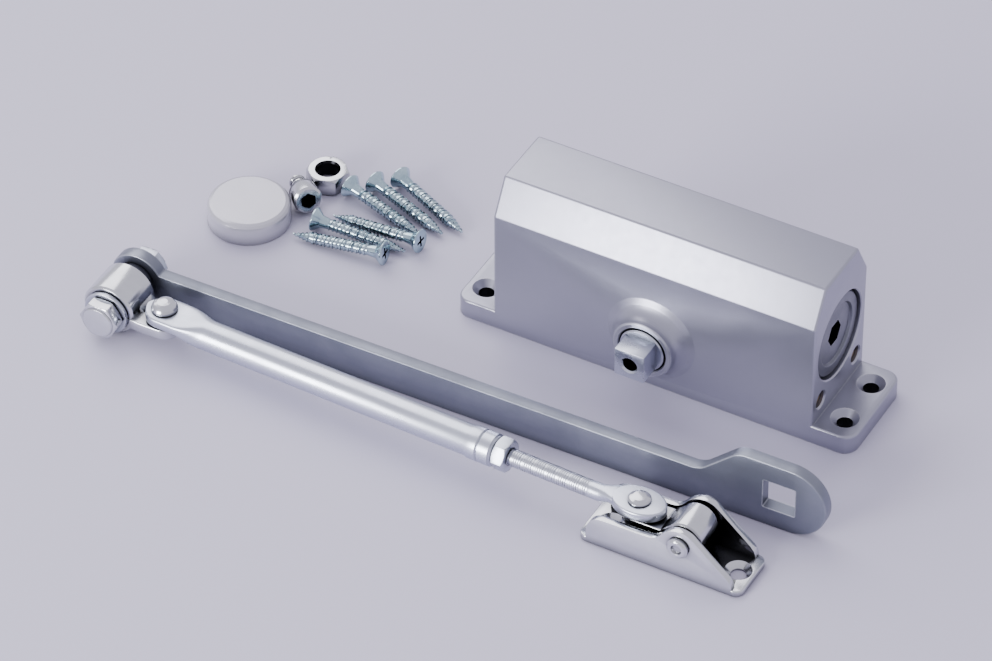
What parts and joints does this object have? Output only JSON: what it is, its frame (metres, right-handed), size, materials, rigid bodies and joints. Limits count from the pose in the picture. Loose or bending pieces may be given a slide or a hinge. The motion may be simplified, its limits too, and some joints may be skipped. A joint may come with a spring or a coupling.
{
  "type": "door closer",
  "caption": "Surface-mounted hydraulic door closer laid out as a kit: closer body, folded jointed arm with foot bracket, spindle cap, screw, nut and fixing screws.",
  "frame": {"origin": "centre of the closer body's flat mounting face", "axes": "+X along the body, away from the loose fixings; +Z away from the mounting face; the spindle is parallel to Y and its arm end points to -Y"},
  "size_m": [0.2615, 0.1295, 0.06],
  "materials": {
    "silver_paint": "satin silver paint over cast aluminium",
    "dark_zinc": "dark blue-grey zinc plating",
    "chrome_plate": "bright chrome",
    "bright_steel": "bright drawn steel",
    "zinc_blue": "blue-white zinc plating",
    "tool_steel": "machined steel",
    "spring_steel": "oiled spring steel",
    "bronze": "sintered bronze and brass",
    "seal_rubber": "nitrile rubber",
    "cap_plastic": "silver-white moulded plastic"
  },
  "bodies": {
    "closer_body": {"housing": "silver_paint", "end_plug_right": "tool_steel", "end_plug_left": "tool_steel", "plug_seal_right": "seal_rubber", "plug_seal_left": "seal_rubber", "spindle_bush_front": "bronze", "spindle_bush_rear": "bronze", "spindle_seal_front": "seal_rubber", "spindle_seal_rear": "seal_rubber", "gland_nut": "silver_paint", "closing_spring": "spring_steel", "spring_seat": "tool_steel"},
    "closing_valve": {"valve_screw_closing": "bronze", "valve_seal_closing": "seal_rubber"},
    "latching_valve": {"valve_screw_latching": "bronze", "valve_seal_latching": "seal_rubber"},
    "spindle": {"pinion_shaft": "bright_steel"},
    "piston": {"rack_piston": "tool_steel", "piston_ring": "seal_rubber", "check_valve_ball": "bright_steel", "check_valve_retainer": "bronze"},
    "main_arm_set": {"main_arm": "dark_zinc", "elbow_spacer": "tool_steel", "elbow_bolt": "chrome_plate", "elbow_washer": "bright_steel", "elbow_nut": "bright_steel"},
    "knuckle": {"elbow_knuckle": "chrome_plate", "elbow_bush": "bronze"},
    "forearm": {"forearm_tube": "bright_steel", "elbow_rivet": "chrome_plate"},
    "lock_nut_body": {"lock_nut": "bright_steel"},
    "rod": {"threaded_rod": "bright_steel"},
    "swivel": {"foot_swivel": "chrome_plate", "foot_rivet": "chrome_plate"},
    "foot": {"foot_bracket": "chrome_plate", "foot_pin": "chrome_plate", "pin_clip": "tool_steel"},
    "cap": {"spindle_cap": "cap_plastic"},
    "screw_set": {"spindle_screw": "chrome_plate", "spring_washer": "tool_steel"},
    "nut": {"loose_nut": "chrome_plate"},
    "fixing_screws": {"fixing_screw_1": "zinc_blue", "fixing_screw_2": "zinc_blue", "fixing_screw_3": "zinc_blue", "fixing_screw_4": "zinc_blue", "fixing_screw_5": "zinc_blue", "fixing_screw_6": "zinc_blue"}
  },
  "joints": [
    {"name": "closing_valve_turn", "type": "hinge", "parent": "closer_body", "child": "closing_valve", "pos_m": [0.05, -0.0125, 0.014], "axis": [1, 0, 0], "range_deg": [-180, 180]},
    {"name": "latching_valve_turn", "type": "hinge", "parent": "closer_body", "child": "latching_valve", "pos_m": [0.05, 0.0125, 0.014], "axis": [1, 0, 0], "range_deg": [-180, 180]},
    {"name": "spindle_turn", "type": "hinge", "parent": "closer_body", "child": "spindle", "pos_m": [0, 0, 0.02], "axis": [0, -1, 0], "range_deg": [0, 165], "stiffness_Nm_per_rad": 6},
    {"name": "piston_slide", "type": "slide", "parent": "closer_body", "child": "piston", "axis": [-1, 0, 0], "range_m": [0, 0.0188], "deforming": ["closing_spring"]},
    {"name": "main_arm_lift", "type": "slide", "parent": "closer_body", "child": "main_arm_set", "axis": [0, 0, 1], "range_m": [0, 0.1]},
    {"name": "elbow_turn", "type": "hinge", "parent": "main_arm_set", "child": "knuckle", "pos_m": [-0.168, -0.0635, 0.0094], "axis": [0.0157, -0.9999, 0], "range_deg": [0, 160]},
    {"name": "forearm_tilt", "type": "hinge", "parent": "knuckle", "child": "forearm", "pos_m": [-0.1493, -0.07621, 0.0094], "axis": [-0.0199, 0.001, 0.9998], "range_deg": [-6, 1.5]},
    {"name": "lock_nut_turn", "type": "hinge", "parent": "forearm", "child": "lock_nut_body", "pos_m": [-0.01848, -0.08259, 0.01201], "axis": [0.9986, -0.0487, 0.0199], "range_deg": [-180, 180]},
    {"name": "rod_length", "type": "slide", "parent": "forearm", "child": "rod", "axis": [0.9986, -0.0487, 0.0199], "range_m": [-0.018, 0.035]},
    {"name": "foot_yaw", "type": "hinge", "parent": "rod", "child": "swivel", "pos_m": [0.031, -0.085, 0.013], "axis": [0, 0, 1], "range_deg": [-20, 12]},
    {"name": "foot_pivot", "type": "hinge", "parent": "swivel", "child": "foot", "pos_m": [0.05, -0.085, 0.013], "axis": [0, -1, 0], "range_deg": [-4, 100]},
    {"name": "cap_lift", "type": "slide", "parent": "closer_body", "child": "cap", "axis": [0, 0, 1], "range_m": [0, 0.06]},
    {"name": "screw_lift", "type": "slide", "parent": "closer_body", "child": "screw_set", "axis": [0, 0, 1], "range_m": [0, 0.06]},
    {"name": "nut_lift", "type": "slide", "parent": "closer_body", "child": "nut", "axis": [0, 0, 1], "range_m": [0, 0.06]},
    {"name": "fixing_screws_lift", "type": "slide", "parent": "closer_body", "child": "fixing_screws", "axis": [0, 0, 1], "range_m": [0, 0.06]}
  ],
  "couplings": [
    {"joint": "piston_slide", "follows": "spindle_turn", "m_per_rad": 0.0065}
  ]
}
